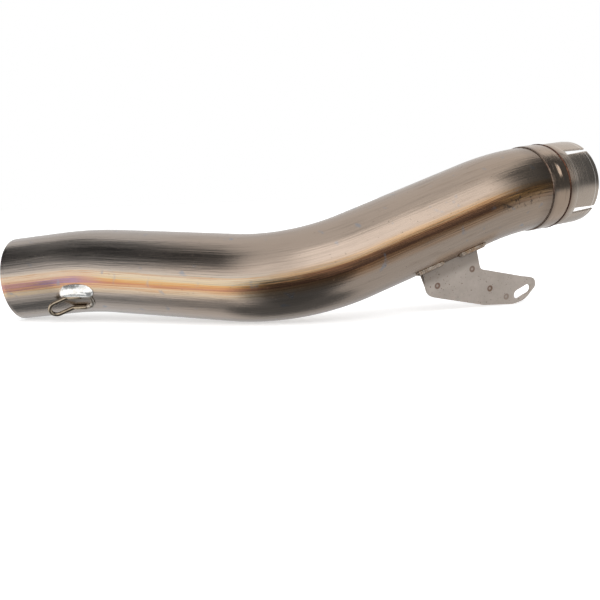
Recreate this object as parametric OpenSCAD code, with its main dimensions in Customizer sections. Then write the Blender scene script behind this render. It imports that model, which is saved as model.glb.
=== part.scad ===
// Motorcycle decat pipe: one mandrel-bent tube with a slotted clamp collar,
// a two-plate mounting bracket and a wire spring hook welded to it.
// Millimetres. X runs along the pipe from inlet to outlet and Z is up.
// The origin is under the middle of the pipe, on the surface it lies on.

/* [Tube] */
// Outside diameter of the main tube
tube_od = 60; // [52:0.5:70]
// Wall thickness of the main tube
tube_wall = 1.5; // [1:0.1:2.5]

/* [Bend sheet] */
// Straight run from the inlet to the first bend
inlet_run = 38.5; // [30:0.5:80]
// Angle of the first bend, in degrees
bend_1_angle = 14; // [8:0.5:25]
// Centreline radius of the first bend
bend_1_radius = 180; // [120:1:240]
// Straight run between the first and second bends
middle_run = 99; // [60:0.5:140]
// Turn of the tube before the second bend, in degrees
bend_2_turn = 170; // [150:1:190]
// Angle of the second bend, in degrees
bend_2_angle = 54; // [40:0.5:65]
// Centreline radius of the second bend
bend_2_radius = 90; // [75:1:130]
// Straight run that carries the bracket
bracket_run = 100; // [96:0.5:140]
// Turn of the tube before the third bend, in degrees
bend_3_turn = -65; // [-90:1:-40]
// Angle of the third bend, in degrees
bend_3_angle = 17.5; // [10:0.5:25]
// Centreline radius of the third bend
bend_3_radius = 153.3; // [110:0.1:220]

/* [Joining sleeve] */
// Length of the raised sleeve between tube and collar
sleeve_length = 17; // [12:0.5:30]
// How far the sleeve stands above the tube
sleeve_rise = 0.8; // [0.5:0.1:1.5]
// Radius of the knock that dented the sleeve, seen along the dent
dent_radius = 6; // [3:0.5:12]
// Depth of the dent
dent_depth = 0.9; // [0.2:0.1:1.2]
// Distance of the dent from the sleeve's inlet-side edge
dent_place = 6.4; // [4:0.1:8]
// Place of the dent round the sleeve, in degrees
dent_turn = -153; // [-180:1:180]

/* [Clamp collar] */
// How far the slotted collar stands above the tube
collar_rise = 0.25; // [0.1:0.05:0.5]
// Wall thickness of the slotted collar
collar_wall = 1.5; // [1:0.1:2.5]
// Length of the collar from the sleeve to the outlet mouth
collar_length = 31; // [26:0.5:50]
// Number of slots in the collar
slot_count = 4; // [2:1:6]
// Length of a collar slot
slot_length = 22; // [12:0.5:24]
// Width of a collar slot at its closed end
slot_root_width = 5.2; // [3:0.1:8]
// Width of a collar slot at the mouth, where the fingers are squeezed in
slot_mouth_width = 3; // [1:0.1:8]
// Length of the lead-in taper at the mouth
lead_in_length = 4; // [1:0.5:8]
// Drop of the lead-in taper at the mouth
lead_in_drop = 0.4; // [0.1:0.1:0.8]

/* [Bracket] */
// Distance of the bracket's inlet-side edge from the second bend
bracket_start = 39.4; // [15:0.1:50]
// Width of the bracket where it meets the tube
neck_width = 45.3; // [35:0.1:55]
// Thickness of one bracket plate
plate_thickness = 1.4; // [1:0.1:3]
// Direction in which the bracket hangs, in degrees from the third bend's own
bracket_turn = -33; // [-115:1:65]
// Distance of the plates' joint plane from the tube's axis
bracket_offset = 15.3; // [5:0.1:18]
// Distance from the axis, along the plates, at which they part
parting_reach = 37; // [34:0.1:42]
// Angle at which the front plate leans out above the parting line, in degrees
front_lean = 3; // [1:1:15]
// Angle at which the back plate leans out above the parting line, in degrees
back_lean = 17; // [8:1:25]
// Distance from the axis, along the plates, to the end of the straight edge
shoulder_reach = 43.5; // [40:0.1:55]
// Distance from the axis to the root of the arm's upper edge
arm_root_reach = 41; // [38:0.1:50]
// Slope of the arm's two long edges, in degrees
arm_slope = 30; // [20:1:40]
// Length of the long lower edge, measured along the tube
lower_edge_length = 42; // [34:0.5:48]
// Length of the shallow lower edge, measured along the tube
toe_length = 24; // [15:0.5:30]
// Slope of the shallow lower edge, in degrees
toe_slope = 21; // [10:1:28]
// Length of the whole bracket, from its inlet-side edge to the tip
bracket_length = 87.9; // [84:0.1:100]
// Distance from the axis to the middle of the tip's rounded end
tip_middle = 68; // [62:0.5:72]
// Length of the flat end of the tip
tip_flat = 6; // [2:0.1:8]
// Width of the bolt slot
bolt_slot_width = 6.8; // [5:0.1:9]
// Length of the bolt slot
bolt_slot_length = 15.5; // [10:0.1:18]
// Distance from the tip's end to the middle of the bolt slot
bolt_slot_inset = 12.3; // [11:0.1:18]
// Angle of the bolt slot to the tube's axis, in degrees
bolt_slot_angle = -6; // [-30:1:30]
// Diameter of a spot weld's dimple
dimple_diameter = 4.4; // [2:0.1:6]
// Depth of a spot weld's dimple
dimple_depth = 0.3; // [0.1:0.05:0.5]

/* [Bracket welds] */
// Radius of a stitch weld's bead
stitch_radius = 3; // [2:0.1:4]
// Stretch without weld between the two stitches of a side
stitch_gap = 11.3; // [4:0.1:20]
// How far the front stitches run out past the bracket's edges
stitch_run_out = 7; // [0:0.5:8]
// How far the middle of a bead lies from the plate's foot, in degrees
stitch_turn = 4; // [0:0.5:6]
// How deep the middle of a bead lies under the tube's surface
stitch_sink = 1; // [0:0.1:2]

/* [Spring hook] */
// Thickness of the hook's wire
wire_diameter = 3; // [2:0.1:4]
// Distance between the middles of the two legs
leg_spacing = 10.7; // [8:0.1:16]
// Length of the legs on the tube
leg_length = 11; // [8:0.1:20]
// Length of the raised part, from the knees to the middle of the loop
loop_reach = 10.4; // [8:0.1:25]
// Angle at which the loop is raised off the tube, in degrees
loop_angle = 32; // [15:1:50]
// Distance of the legs' middle from the inlet, along the centreline
hook_station = 59.5; // [50:0.5:70]
// Place of the hook round the tube, in degrees
hook_turn = 6.8; // [-20:0.1:40]

/* [Hook weld] */
// Radius of the main weld beside the upper leg
pad_radius = 5.5; // [4:0.1:7]
// Length of the main weld
pad_length = 30; // [20:0.5:40]
// How deep the middle of the main weld lies under the tube's surface
pad_sink = 1; // [0:0.1:3]
// Radius of the bead that runs round the legs' ends
wrap_bead_radius = 2; // [1.6:0.1:3]

/* [Small welds] */
// Radius of the weld bead between tube and sleeve
sleeve_bead = 0.8; // [0.6:0.1:1.6]
// Radius of the weld bead between sleeve and collar
collar_bead = 0.9; // [0.6:0.1:1.6]

/* [Lying pose] */
// Turn about the long axis with which the pipe lies, in degrees
lie_roll = -83.52; // [-180:0.01:180]
// Turn about the cross axis with which the pipe lies, in degrees
lie_pitch = 33.92; // [-180:0.01:180]
// Turn about the upright axis with which the pipe lies, in degrees
lie_yaw = -102.34; // [-180:0.01:180]
// Place of the inlet's centre along the pipe
inlet_x = -210.56; // [-400:0.01:400]
// Place of the inlet's centre across the pipe
inlet_y = 39.25; // [-400:0.01:400]
// Height of the inlet's centre
inlet_z = 29.88; // [-400:0.01:400]

/* [Hidden] */
$fn = 96;
bead_sides = 32;
bend_sides = 360;

tube_r = tube_od / 2;
tube_bore_r = tube_r - tube_wall;
sleeve_r = tube_r + sleeve_rise;
collar_r = tube_r + collar_rise;
collar_bore_r = collar_r - collar_wall;
wire_r = wire_diameter / 2;

// Colours of the worn stainless steel and its welds
steel_colour = [0.62, 0.58, 0.54];
collar_colour = [0.55, 0.51, 0.47];
plate_colour = [0.61, 0.58, 0.54];
weld_colour = [0.45, 0.33, 0.25];
bright_weld_colour = [0.85, 0.84, 0.82];
wire_colour = [0.66, 0.60, 0.52];

// Steps along and round the bent centreline. Z is always the way the tube
// runs, and a bend turns it towards X.
module along(length) translate([0, 0, length]) children();
module turned(angle) rotate([0, 0, angle]) children();
module past_bend(angle, radius)
    translate([radius, 0, 0]) rotate([0, angle, 0]) translate([-radius, 0, 0]) children();

// The pipe as it comes to rest on a flat surface
module lying()
    translate([inlet_x, inlet_y, inlet_z]) rotate([lie_roll, lie_pitch, lie_yaw]) children();

// Stations of the bend sheet, each counted from the one before
module at_bend_1() lying() along(inlet_run) children();
module at_middle_run() at_bend_1() past_bend(bend_1_angle, bend_1_radius) turned(bend_2_turn) children();
module at_bend_2() at_middle_run() along(middle_run) children();
module at_bracket_run() at_bend_2() past_bend(bend_2_angle, bend_2_radius) turned(bend_3_turn) children();
module at_bend_3() at_bracket_run() along(bracket_run) children();
module at_sleeve() at_bend_3() past_bend(bend_3_angle, bend_3_radius) children();
module at_collar() at_sleeve() along(sleeve_length) children();

// One straight length and one bend of the tube, each hollow or solid
module section(bore) difference() {
    circle(r = tube_r);
    if (bore > 0) circle(r = bore);
}
module straight(length, bore) linear_extrude(length) section(bore);
module bend(angle, radius, bore) translate([radius, 0, 0]) rotate([90, 0, 180])
    rotate_extrude(angle = angle, $fn = bend_sides) translate([radius, 0]) section(bore);

// The bent tube, in lengths that meet face to face
module tube_inlet() color(steel_colour) {
    lying() straight(inlet_run, tube_bore_r);
    at_bend_1() bend(bend_1_angle, bend_1_radius, tube_bore_r);
}
module tube_middle_run() color(steel_colour) at_middle_run() straight(middle_run, tube_bore_r);
module tube_main_bend() color(steel_colour) at_bend_2() bend(bend_2_angle, bend_2_radius, tube_bore_r);
module tube_bracket_run() color(steel_colour) at_bracket_run() straight(bracket_run, tube_bore_r);
module tube_outlet_bend() color(steel_colour) at_bend_3() bend(bend_3_angle, bend_3_radius, tube_bore_r);

// The sleeve is barrelled: full height in its middle, with shoulders that drop
// towards both ends. Its bore runs on from the collar's, down to the tube's end.
sleeve_end_drop = 0.25;
sleeve_shoulder = 3;
module joining_sleeve() color(steel_colour) at_sleeve() difference() {
    rotate_extrude() polygon([
        [collar_bore_r, 0],
        [sleeve_r - sleeve_end_drop, 0],
        [sleeve_r, sleeve_shoulder],
        [sleeve_r, sleeve_length - 2 * sleeve_shoulder],
        [collar_r + sleeve_end_drop, sleeve_length],
        [collar_bore_r, sleeve_length]]);
    turned(dent_turn) translate([sleeve_r + dent_radius - dent_depth, 0, dent_place])
        rotate([90, 0, 0]) cylinder(r = dent_radius, h = tube_r, center = true);
}

// One slot: a wedge, wide at its closed end and narrow at the mouth
module collar_slot() {
    root = collar_length - slot_length;
    past_mouth = collar_length + 1;
    rotate([90, 0, 90]) linear_extrude(2 * collar_r)
        polygon([
            [-slot_root_width / 2, root],
            [slot_root_width / 2, root],
            [slot_mouth_width / 2, past_mouth],
            [-slot_mouth_width / 2, past_mouth]]);
}

module slotted_collar() color(collar_colour) at_collar() difference() {
    rotate_extrude() polygon([
        [collar_bore_r, 0],
        [collar_r, 0],
        [collar_r, collar_length - lead_in_length],
        [collar_r - lead_in_drop, collar_length],
        [collar_bore_r, collar_length]]);
    for (k = [0 : slot_count - 1]) turned(k * 360 / slot_count) collar_slot();
}

// Bead laid in the outer corner between two rings, with both rings cut away
module ring_bead(ring_r, bead_r) rotate_extrude() translate([ring_r, 0]) circle(r = bead_r, $fn = bead_sides);

module sleeve_weld() color(weld_colour) difference() {
    at_sleeve() ring_bead(tube_r, sleeve_bead);
    at_bend_3() bend(bend_3_angle, bend_3_radius, 0);
    at_sleeve() cylinder(r = sleeve_r + sleeve_bead, h = 2 * sleeve_bead);
}

module collar_weld() color(weld_colour) at_collar() difference() {
    ring_bead(collar_r, collar_bead);
    cylinder(r = collar_r, h = 2 * collar_bead);
    translate([0, 0, -2 * sleeve_shoulder])
        cylinder(r1 = sleeve_r, r2 = collar_r + sleeve_end_drop, h = 2 * sleeve_shoulder);
}

// In the bracket's frame X runs down the plates, Z along the tube and the
// front is at -Y. The joint plane of the two plates is at Y = -bracket_offset.
module at_bracket() at_bracket_run() turned(bracket_turn) children();

// Rounded outline: each corner of the path p is replaced by an arc of radius r,
// or of less where it would take more than half of an edge beside it
function unit(v) = v / norm(v);
function corner_arc(before, corner, after, wanted) =
    let (u = unit(before - corner), v = unit(after - corner),
         half = acos(u * v) / 2,
         r = min(wanted, tan(half) * min(norm(before - corner), norm(after - corner)) / 2),
         middle = corner + unit(u + v) * r / sin(half),
         start = corner + u * r / tan(half) - middle,
         side = sign(u[0] * v[1] - u[1] * v[0]),
         sweep = 180 - 2 * half)
    [for (k = [0 : 8])
        let (a = -side * sweep * k / 8)
        middle + [start[0] * cos(a) - start[1] * sin(a), start[0] * sin(a) + start[1] * cos(a)]];
function rounded(p, r) = [for (i = [0 : len(p) - 1])
    let (n = len(p))
    each r[i] > 0 ? corner_arc(p[(i + n - 1) % n], p[i], p[(i + 1) % n], r[i]) : [p[i]]];

// Corners of the plate, as [distance along the tube, distance down the plate]
neck_end = bracket_start + neck_width;
// The plates start this far down, inside the tube, and are cut off at its surface
plate_top = bracket_offset / 2;
lower_corner = [bracket_start + lower_edge_length,
                shoulder_reach + lower_edge_length * tan(arm_slope)];
toe_corner = lower_corner + [toe_length, toe_length * tan(toe_slope)];
tip_end = bracket_start + bracket_length;
// How far the cut corners above and below the tip's end reach back, and how
// much lower than the toe the lower one lies
lower_tip_inset = 12;
upper_tip_inset = 9;
tip_drop = 0.8;
tip_depth = toe_corner[1] + tip_drop;
plate_corners = [
    [bracket_start, plate_top],
    [bracket_start, shoulder_reach],
    lower_corner,
    toe_corner,
    [tip_end - lower_tip_inset, tip_depth],
    [tip_end, tip_middle + tip_flat / 2],
    [tip_end, tip_middle - tip_flat / 2],
    [tip_end - upper_tip_inset, arm_root_reach + (tip_end - upper_tip_inset - neck_end) * tan(arm_slope)],
    [neck_end, arm_root_reach],
    [neck_end, plate_top]];
// Radius of each of these corners, in the same order
plate_radii = [0, 8, 20, 16, 14, 4, 4, 14, 5, 0];

// Middle of the bolt slot and of each spot weld, in the same two directions
bolt_slot_middle = [tip_end - bolt_slot_inset, tip_middle + tip_flat / 2];
spot_welds = [
    [bracket_start + 8.7, 38.7],
    [neck_end - 6.7, 38],
    [neck_end + 4.1, 57.6],
    [neck_end + 16, 69]];

// Puts a flat drawing of the plate into the bracket's frame, from Y = 0 backwards
module upright() rotate([-90, -90, 0]) children();

module obround(length, width) {
    square([length - width, width], center = true);
    for (side = [-1, 1]) translate([side * (length - width) / 2, 0]) circle(r = width / 2);
}

module plate_drawing() difference() {
    polygon(rounded(plate_corners, plate_radii));
    translate(bolt_slot_middle) rotate(bolt_slot_angle) obround(bolt_slot_length, bolt_slot_width);
}

function lean(side) = side < 0 ? front_lean : back_lean;

// Edge view of a plate: flat below the parting line, leaning out above it.
// The side is -1 for the front plate and 1 for the back plate.
module plate_section(side) {
    out = side * (parting_reach - plate_top) * tan(lean(side));
    t = side * plate_thickness;
    polygon([
        [parting_reach, 0], [2 * tip_depth, 0], [2 * tip_depth, t],
        [parting_reach, t], [plate_top, out + t], [plate_top, out]]);
}

module spot_dimples(side) {
    dimple_ball = (dimple_diameter * dimple_diameter / 4 + dimple_depth * dimple_depth) / (2 * dimple_depth);
    for (p = spot_welds)
        translate([p[1], side * (plate_thickness + dimple_ball - dimple_depth), p[0]])
            sphere(r = dimple_ball, $fn = 48);
}

module bracket_plate(side) color(plate_colour) at_bracket() difference() {
    translate([0, -bracket_offset, 0]) difference() {
        intersection() {
            linear_extrude(2 * tip_end) plate_section(side);
            translate([0, -tube_r, 0]) upright() linear_extrude(tube_od) plate_drawing();
        }
        spot_dimples(side);
    }
    cylinder(r = tube_r, h = bracket_run);
}
module bracket_front_plate() bracket_plate(-1);
module bracket_back_plate() bracket_plate(1);

// Where the outer face of a plate meets the tube, as an angle round the tube
function plate_foot(side) =
    let (q = [parting_reach, -bracket_offset + side * plate_thickness],
         u = [-cos(lean(side)), side * sin(lean(side))],
         reach = -(q * u) - sqrt((q * u) * (q * u) - q * q + tube_r * tube_r),
         foot = q + reach * u)
    atan2(foot[1], foot[0]);

// The plate's width of stitch that would lie on or inside the plate
module behind_plate(side) {
    face = -bracket_offset + side * plate_thickness;
    back = -bracket_offset - side * 2 * stitch_radius;
    at_bracket() along(bracket_start) linear_extrude(neck_width) polygon([
        [parting_reach + stitch_radius, face], [parting_reach, face],
        [plate_top, face + side * (parting_reach - plate_top) * tan(lean(side))],
        [plate_top, back], [parting_reach + stitch_radius, back]]);
}

// One stitch: a round-ended bead in the corner between plate and tube
module stitch(side, start, end) color(weld_colour) difference() {
    at_bracket() turned(plate_foot(side) + side * stitch_turn) translate([tube_r - stitch_sink, 0, start]) {
        bead = end - start - 2 * stitch_radius;
        along(stitch_radius) cylinder(r = stitch_radius, h = bead, $fn = bead_sides);
        along(stitch_radius) sphere(r = stitch_radius, $fn = bead_sides);
        along(stitch_radius + bead) sphere(r = stitch_radius, $fn = bead_sides);
    }
    at_bracket() cylinder(r = tube_r, h = bracket_run);
    behind_plate(side);
}
neck_middle = bracket_start + neck_width / 2;
first_end = neck_middle - stitch_gap / 2;
last_start = neck_middle + stitch_gap / 2;
module front_stitch_inlet() stitch(-1, bracket_start - stitch_run_out, first_end);
module front_stitch_outlet() stitch(-1, last_start, neck_end + stitch_run_out);
module back_stitch_inlet() stitch(1, bracket_start, first_end);
module back_stitch_outlet() stitch(1, last_start, neck_end);

// In the hook's frame X is straight out of the tube, Z runs along it towards
// the outlet and the origin is on the tube's axis, under the middle of the legs.
hook_bend_angle = (hook_station - inlet_run) / bend_1_radius * 180 / PI;
module at_hook() at_bend_1() past_bend(hook_bend_angle, bend_1_radius) turned(hook_turn) children();

// The straight legs lie along the tube, with their ends on its hollow curve
// and this much air under them
leg_air = 0.05;
leg_y = leg_spacing / 2;
leg_height = sqrt(pow(tube_r + wire_r, 2) - leg_y * leg_y)
    + pow(leg_length / 2, 2) / (2 * (bend_1_radius - tube_r)) + leg_air;
knee_radius = 2.7 * wire_r;
knee_run = knee_radius * tan(loop_angle / 2);

// Half of the hairpin as rings, each [centre, way out of the hairpin, way up]:
// the leg's end, the knee and a quarter of the loop
wire_sides = 24;
knee_steps = 4;
loop_steps = 8;
function hook_half() = concat(
    [[[0, -leg_y, leg_length / 2], [0, -1, 0], [1, 0, 0]]],
    [for (k = [0 : knee_steps])
        let (a = loop_angle * k / knee_steps, z = knee_run - leg_length / 2)
        [[knee_radius * (1 - cos(a)), -leg_y, z - knee_radius * sin(a)],
            [0, -1, 0], [cos(a), 0, sin(a)]]],
    [for (k = [0 : loop_steps])
        let (a = 90 * k / loop_steps, ahead = [sin(loop_angle), 0, -cos(loop_angle)],
            out = ahead * sin(a) - [0, cos(a), 0])
        [[0, 0, -leg_length / 2] + loop_reach * ahead + leg_y * out,
            out, [cos(loop_angle), 0, sin(loop_angle)]]]);
function across(v) = [v[0], -v[1], v[2]];
function hook_rings() = let (half = hook_half(), n = len(half))
    concat(half, [for (k = [2 : n]) [for (v = half[n - k]) across(v)]]);

// Round wire through a list of such rings
module wire(rings) {
    n = wire_sides;
    last = (len(rings) - 1) * n;
    polyhedron(
        [for (ring = rings, k = [0 : n - 1])
            ring[0] + wire_r * (cos(360 * k / n) * ring[1] + sin(360 * k / n) * ring[2])],
        concat(
            [[for (k = [0 : n - 1]) k]],
            [[for (k = [1 : n]) last + n - k]],
            [for (i = [0 : n : last - n], k = [0 : n - 1])
                [i + k, i + n + k, i + n + (k + 1) % n, i + (k + 1) % n]]));
}
module spring_hook() color(wire_colour) at_hook() translate([leg_height, 0, 0]) wire(hook_rings());

// Weld of the hook: a thick pad along the outer side of the upper leg, and a
// thinner bead that runs from its end round both leg ends. The pad's middle
// lies pad_inset outside the leg and pad_shift nearer the outlet.
pad_inset = 2.4;
pad_shift = 2.5;
pad_side = leg_y + wire_r;
pad_turn = -asin((pad_side + pad_inset) / tube_r);
pad_half = pad_length / 2 - pad_radius;
wrap_radius = (pad_side + pad_inset + leg_y) / 2;
wrap_turn = asin((leg_y - wrap_radius) / tube_r);
module hook_weld() color(bright_weld_colour) difference() {
    at_hook() {
        turned(pad_turn) translate([tube_r - pad_sink, 0, pad_shift]) {
            translate([0, 0, -pad_half]) cylinder(r = pad_radius, h = 2 * pad_half);
            for (end = [-1, 1]) translate([0, 0, end * pad_half]) sphere(r = pad_radius);
        }
        turned(wrap_turn) translate([tube_r, 0, leg_length / 2]) rotate([90, 0, 90])
            rotate_extrude() translate([wrap_radius, 0]) circle(r = wrap_bead_radius, $fn = bead_sides);
    }
    lying() straight(inlet_run + pad_sink, 0);
    at_bend_1() bend(bend_1_angle, bend_1_radius, 0);
    at_middle_run() along(-pad_sink) straight(middle_run, 0);
    at_hook() translate([0, -pad_side, leg_length / 2 - 2 * pad_length])
        cube([2 * tube_r, 2 * tube_r, 2 * pad_length]);
}

tube_inlet();
tube_middle_run();
tube_main_bend();
tube_bracket_run();
tube_outlet_bend();
joining_sleeve();
slotted_collar();
sleeve_weld();
collar_weld();
bracket_front_plate();
bracket_back_plate();
front_stitch_inlet();
front_stitch_outlet();
back_stitch_inlet();
back_stitch_outlet();
spring_hook();
hook_weld();
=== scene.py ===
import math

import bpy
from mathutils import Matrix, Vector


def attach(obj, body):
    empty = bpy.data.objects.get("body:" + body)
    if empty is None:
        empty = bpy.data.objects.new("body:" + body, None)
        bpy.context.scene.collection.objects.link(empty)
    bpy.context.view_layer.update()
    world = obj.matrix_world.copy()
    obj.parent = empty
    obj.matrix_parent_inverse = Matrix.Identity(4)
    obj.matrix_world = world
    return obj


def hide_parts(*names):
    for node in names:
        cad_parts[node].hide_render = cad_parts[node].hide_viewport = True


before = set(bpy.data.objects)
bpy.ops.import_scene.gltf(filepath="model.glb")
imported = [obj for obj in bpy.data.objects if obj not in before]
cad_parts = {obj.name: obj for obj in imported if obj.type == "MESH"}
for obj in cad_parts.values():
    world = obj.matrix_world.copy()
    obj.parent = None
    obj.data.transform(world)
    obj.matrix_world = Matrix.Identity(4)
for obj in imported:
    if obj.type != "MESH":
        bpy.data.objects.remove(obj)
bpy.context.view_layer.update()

# %% [markdown]
# # A used exhaust link pipe
# The real pipe is one welded piece of stainless tube that has been hot: it has soft grey
# reflections, a straw and brown stripe where its seam runs, dark weld beads and a dull bracket.
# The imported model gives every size. This lesson gives each piece a finer mesh and its finish.

MM = 0.001


def deselect():
    """Leave edit mode and select nothing, so that an operator acts on new work only."""
    if bpy.context.object and bpy.context.object.mode != "OBJECT":
        bpy.ops.object.mode_set(mode="OBJECT")
    bpy.ops.object.select_all(action="DESELECT")


deselect()

# %% [markdown]
# ## The bend sheet
# A bender works from a sheet: straight length, bend angle, bend radius and how far the stock is
# turned before the next length. The same sheet places everything here. A frame on the tube is a
# matrix whose Z runs along the tube, and a bend turns it towards its X.

# %% The bend sheet and its frames
TUBE_R = 30.0
TUBE_WALL = 1.5
BENDS = [
    {"run": 38.5, "angle": 14.0, "radius": 180.0, "turn": 170.0},
    {"run": 99.0, "angle": 54.0, "radius": 90.0, "turn": -65.0},
    {"run": 100.0, "angle": 17.5, "radius": 153.3, "turn": 0.0},
]
SLEEVE_LENGTH = 17.0
COLLAR_LENGTH = 31.0
LYING = Matrix.Translation((-210.56, 39.25, 29.88)) @ (
    Matrix.Rotation(math.radians(-102.34), 4, "Z")
    @ Matrix.Rotation(math.radians(33.92), 4, "Y")
    @ Matrix.Rotation(math.radians(-83.52), 4, "X")
)


def along(length):
    return Matrix.Translation((0, 0, length))


def turned(angle):
    return Matrix.Rotation(math.radians(angle), 4, "Z")


def past_bend(angle, radius):
    swing = Matrix.Rotation(math.radians(angle), 4, "Y")
    return Matrix.Translation((radius, 0, 0)) @ swing @ Matrix.Translation((-radius, 0, 0))


def at_station(s):
    """The frame at a length s along the centreline, and the turn of its X from the inlet's."""
    place, turn = LYING.copy(), 0.0
    for bend in BENDS:
        if s <= bend["run"]:
            return place @ along(s), turn
        place, s = place @ along(bend["run"]), s - bend["run"]
        arc = math.radians(bend["angle"]) * bend["radius"]
        if s <= arc:
            return place @ past_bend(math.degrees(s / bend["radius"]), bend["radius"]), turn
        place = place @ past_bend(bend["angle"], bend["radius"]) @ turned(bend["turn"])
        turn, s = turn + bend["turn"], s - arc
    return place @ along(s), turn


ARCS = [math.radians(bend["angle"]) * bend["radius"] for bend in BENDS]
TOTAL_TURN = sum(bend["turn"] for bend in BENDS)
SLEEVE_AT = sum(bend["run"] for bend in BENDS) + sum(ARCS)
COLLAR_AT = SLEEVE_AT + SLEEVE_LENGTH
MOUTH_AT = COLLAR_AT + COLLAR_LENGTH
BRACKET_AT = SLEEVE_AT - ARCS[2] - BENDS[2]["run"]
print("stations in mm: sleeve %.1f, collar %.1f, mouth %.1f" % (SLEEVE_AT, COLLAR_AT, MOUTH_AT))

# %% [markdown]
# ## The camera
# The photograph looks along the pipe's side from a little above, with a lens of about 66 mm.

# %% Camera
CAMERA_AT = (0.000672, -0.783167, 0.091156)
CAMERA_TURN = (84.055, 2.251, 0.002)
LENS, SENSOR_WIDTH = 66.0, 36.0
bpy.ops.object.camera_add(location=CAMERA_AT)
camera = bpy.context.object
camera.name = "photo_camera"
camera.rotation_euler = [math.radians(angle) for angle in CAMERA_TURN]
camera.data.lens, camera.data.sensor_width = LENS, SENSOR_WIDTH
bpy.context.scene.camera = camera
bpy.context.scene.view_settings.view_transform = "Standard"

# %% [markdown]
# ## Values that calculate
# A material is a graph of nodes. Written out one by one it is long, so one small class wraps a
# socket and lets Python's own operators add the Math nodes.


# %% One class for shader maths
class Signal:
    """A socket that can be calculated with: each operator adds a Math node."""

    def __init__(self, tree, socket):
        self.tree, self.socket = tree, socket

    def node(self, kind, settings=None, inputs=None, output=0):
        """Add a node of a kind: its settings come first, then its sockets' values or links."""
        made = self.tree.nodes.new("ShaderNode" + kind)
        for key, value in (settings or {}).items():
            if key == "stops":
                ramp = made.color_ramp.elements
                while len(ramp) < len(value):
                    ramp.new(1.0)
                for element, (position, colour) in zip(ramp, value):
                    element.position, element.color = position, (*colour, 1.0)
            else:
                setattr(made, key, value)
        for key, value in (inputs or {}).items():
            if isinstance(value, Signal):
                self.tree.links.new(value.socket, made.inputs[key])
            else:
                made.inputs[key].default_value = value
        return Signal(self.tree, made.outputs[output] if made.outputs else None)

    def maths(self, operation, first, second=0.0):
        return self.node("Math", {"operation": operation}, {0: first, 1: second})

    def __add__(self, other):
        return self.maths("ADD", self, other)

    def __radd__(self, other):
        return self.maths("ADD", other, self)

    def __sub__(self, other):
        return self.maths("SUBTRACT", self, other)

    def __rsub__(self, other):
        return self.maths("SUBTRACT", other, self)

    def __mul__(self, other):
        return self.maths("MULTIPLY", self, other)

    def __rmul__(self, other):
        return self.maths("MULTIPLY", other, self)

    def __truediv__(self, other):
        return self.maths("DIVIDE", self, other)

    def __abs__(self):
        return self.maths("ABSOLUTE", self)


# %% Small helpers on signals
def start_material(name):
    """A new material, and a signal of the object's own coordinates in it."""
    material = bpy.data.materials.new(name)
    material.use_nodes = True
    material.node_tree.nodes.clear()
    blank = Signal(material.node_tree, None)
    return material, blank.node("TexCoord", output="Object")


def step_up(value, low, high):
    """0 below low, 1 above high and smooth between; low may be the larger one."""
    settings = {"interpolation_type": "SMOOTHSTEP"}
    return value.node("MapRange", settings, {0: value, "From Min": low, "From Max": high})


def band(value, low, high, soft):
    """1 between low and high, falling to 0 over a width of soft on both sides."""
    return step_up(value, low - soft, low) * step_up(value, high + soft, high)


def mix(first, second, share, start):
    """Blend two colours, each a signal or three numbers."""
    pick = [colour if isinstance(colour, Signal) else (*colour, 1.0) for colour in (first, second)]
    settings = {"data_type": "RGBA"}
    return start.node("Mix", settings, {0: share, 6: pick[0], 7: pick[1]}, output=2)


def shaded(colour, shade, start):
    """The colour, darker where the shade is under 1."""
    return mix((0.0, 0.0, 0.0), colour, shade, start)


def stored(start, name, output="Vector"):
    """An attribute that the mesh stores."""
    return start.node("Attribute", {"attribute_name": name}, output=output)


def coordinate(vector, index):
    return vector.node("SeparateXYZ", {}, {0: vector}, output=index)


def stretched(vector, factors):
    return vector.node("VectorMath", {"operation": "MULTIPLY"}, {0: vector, 1: factors})


def noise(vector, scale, detail, roughness):
    """Soft noise from 0 to 1. On metres, a scale of 1000 has one lump per millimetre."""
    inputs = {"Vector": vector, "Scale": scale, "Detail": detail, "Roughness": roughness}
    return vector.node("TexNoise", {}, inputs)


def spread(value, gain):
    """Noise keeps near the middle of its range; this spreads it round 0."""
    return (value - 0.5) * gain


def finish_metal(material, start, colour, roughness, height, depth, metallic=1.0):
    """Join the colour, roughness and bump signals to a metal surface; depth is in metres."""
    bump = {"Strength": 1.0, "Distance": depth, "Height": height}
    inputs = {"Base Color": colour, "Roughness": roughness, "Metallic": metallic}
    inputs["Normal"] = start.node("Bump", {}, bump)
    surface = start.node("BsdfPrincipled", {}, inputs)
    start.node("OutputMaterial", {}, {"Surface": surface})
    print("material", material.name, "with", len(material.node_tree.nodes), "nodes")


# %% [markdown]
# ## The studio
# The pipe lies on a pale floor in soft light. Polished metal is only as good as what it
# reflects: a tube looks round because it mirrors bright sheets and dark gaps between them. So the
# world is painted as a small studio, patch by patch, in degrees to the right of the camera and
# above the horizon, and its dark patches are a little cool. The camera sees the world white. The
# floor only carries the soft shadow: the metal mirrors the painted table in its place.

# %% Floor
WHITE = (1.0, 1.0, 1.0, 1.0)
PAPER = (0.93, 0.93, 0.93, 1.0)
PAPER_GLOW = 0.5
FLOOR_SIZE, FLOOR_DROP = 12.0, 0.0002
bpy.ops.mesh.primitive_plane_add(size=FLOOR_SIZE, location=(0, 0, -FLOOR_DROP))
floor = bpy.context.object
floor.name = "studio_floor"
floor.visible_glossy = False
floor_paint, floor_start = start_material("floor_paper")
seen = floor_start.node("LightPath", output="Is Camera Ray") + floor_start.node(
    "LightPath", output="Is Transmission Ray"
)
paper = floor_start.node("BsdfDiffuse", {}, {"Color": PAPER})
glow = floor_start.node("Emission", {}, {"Color": WHITE, "Strength": seen * PAPER_GLOW})
both = floor_start.node("AddShader", {}, {0: paper, 1: glow})
floor_start.node("OutputMaterial", {}, {"Surface": both})
floor.data.materials.append(floor_paint)

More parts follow.
